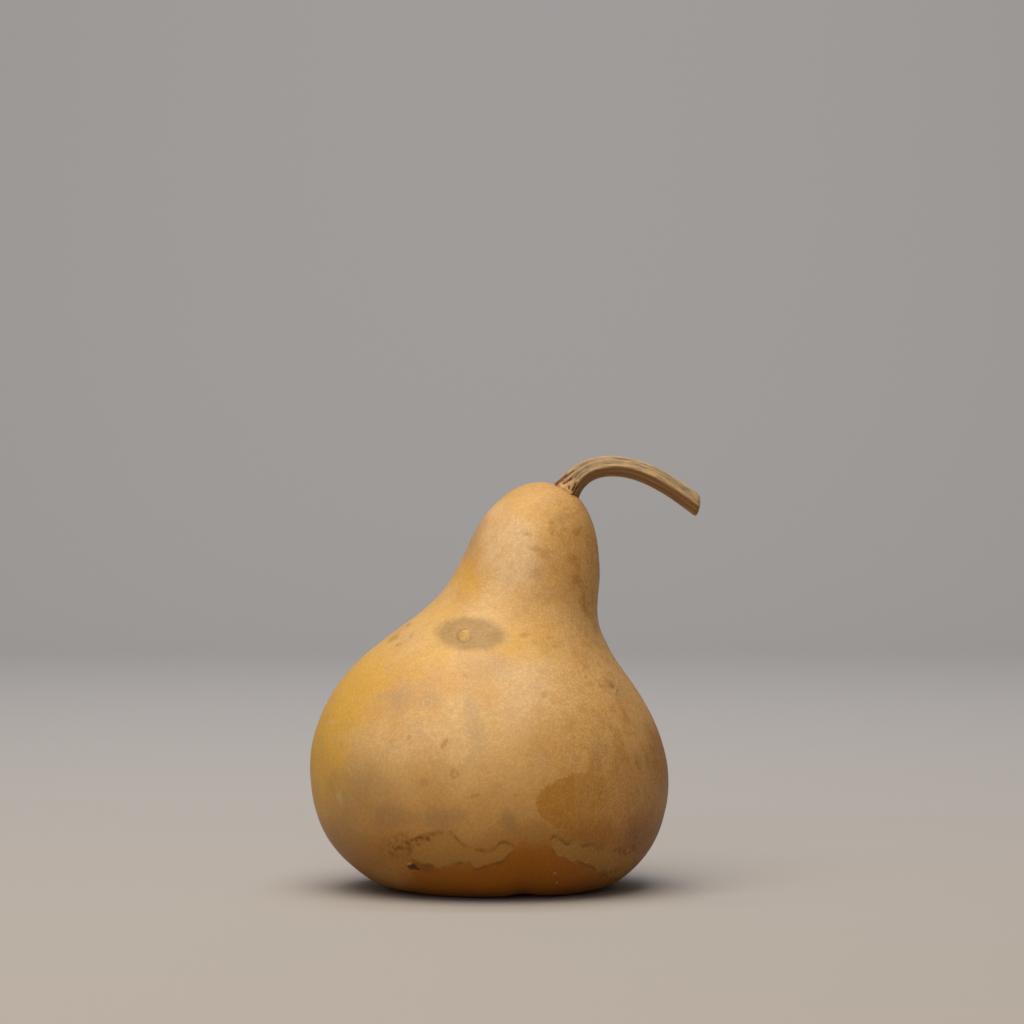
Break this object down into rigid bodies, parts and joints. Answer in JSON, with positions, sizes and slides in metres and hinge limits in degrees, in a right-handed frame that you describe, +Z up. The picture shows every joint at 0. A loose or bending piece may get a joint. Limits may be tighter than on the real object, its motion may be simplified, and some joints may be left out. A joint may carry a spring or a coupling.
{
  "type": "dried bottle gourd",
  "caption": "Small pear-shaped dried bottle gourd with a smooth mottled ochre rind, a leaning neck and a curved ridged woody stem, standing on its own base.",
  "frame": {"origin": "on the surface that the gourd stands on, under the middle of the bounding box of the gourd and its stem", "axes": "+Z up, +X the side that the neck leans and the stem bends over to, -Y the front, which the picture shows"},
  "size_m": [0.1156, 0.1023, 0.1279],
  "materials": {
    "rind": "dry woody rind with a soft sheen, ochre tan with fine mottling",
    "stem": "matt dry stalk, grey-tan with darker furrows"
  },
  "bodies": {
    "root": {"gourd": "rind", "stem": "stem"}
  },
  "joints": []
}
